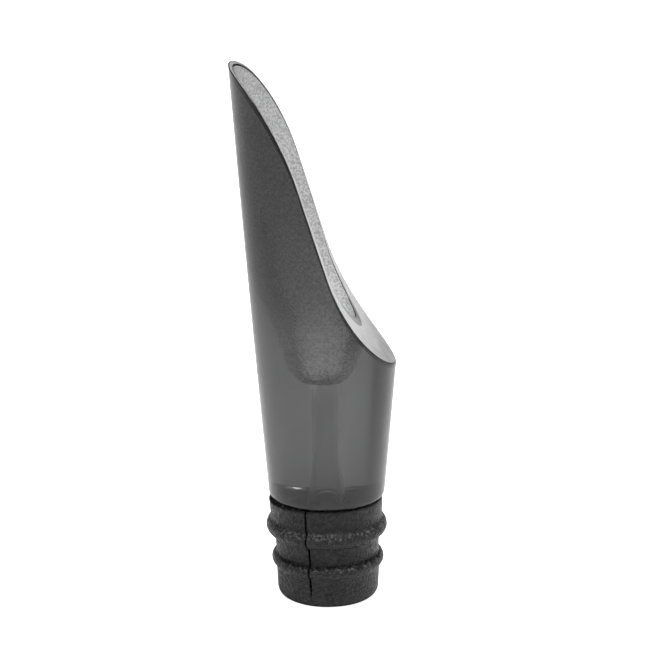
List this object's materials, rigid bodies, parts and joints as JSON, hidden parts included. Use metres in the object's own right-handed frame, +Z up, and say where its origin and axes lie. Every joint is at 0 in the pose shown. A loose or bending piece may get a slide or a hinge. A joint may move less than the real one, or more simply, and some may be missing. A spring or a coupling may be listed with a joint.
{
  "type": "bottle pourer",
  "caption": "Beak-shaped clear smoke-grey bottle pourer with an open chute, on a ribbed black rubber stopper that plugs a wine bottle's neck.",
  "frame": {"origin": "centre of the stopper's flat base, where the inlet bore opens", "axes": "+Z up the stopper's axis towards the beak, the beak's tip leans towards -X, XZ is the plane of symmetry"},
  "size_m": [0.0297, 0.0296, 0.1001],
  "materials": {
    "smoke_plastic": "clear smoke-grey moulded acrylic, polished outside, lightly frosted in the chute",
    "black_plastic": "moulded hard black plastic",
    "black_rubber": "matte black rubber with a fine grain"
  },
  "bodies": {
    "stopper": {"stopper_sleeve": "black_rubber", "stopper_core": "black_plastic"},
    "spout": {"spout_body": "smoke_plastic", "stem_tube": "smoke_plastic"}
  },
  "joints": [
    {"name": "spout_pull", "type": "slide", "parent": "stopper", "child": "spout", "axis": [0, 0, 1], "range_m": [0, 0.022]}
  ]
}
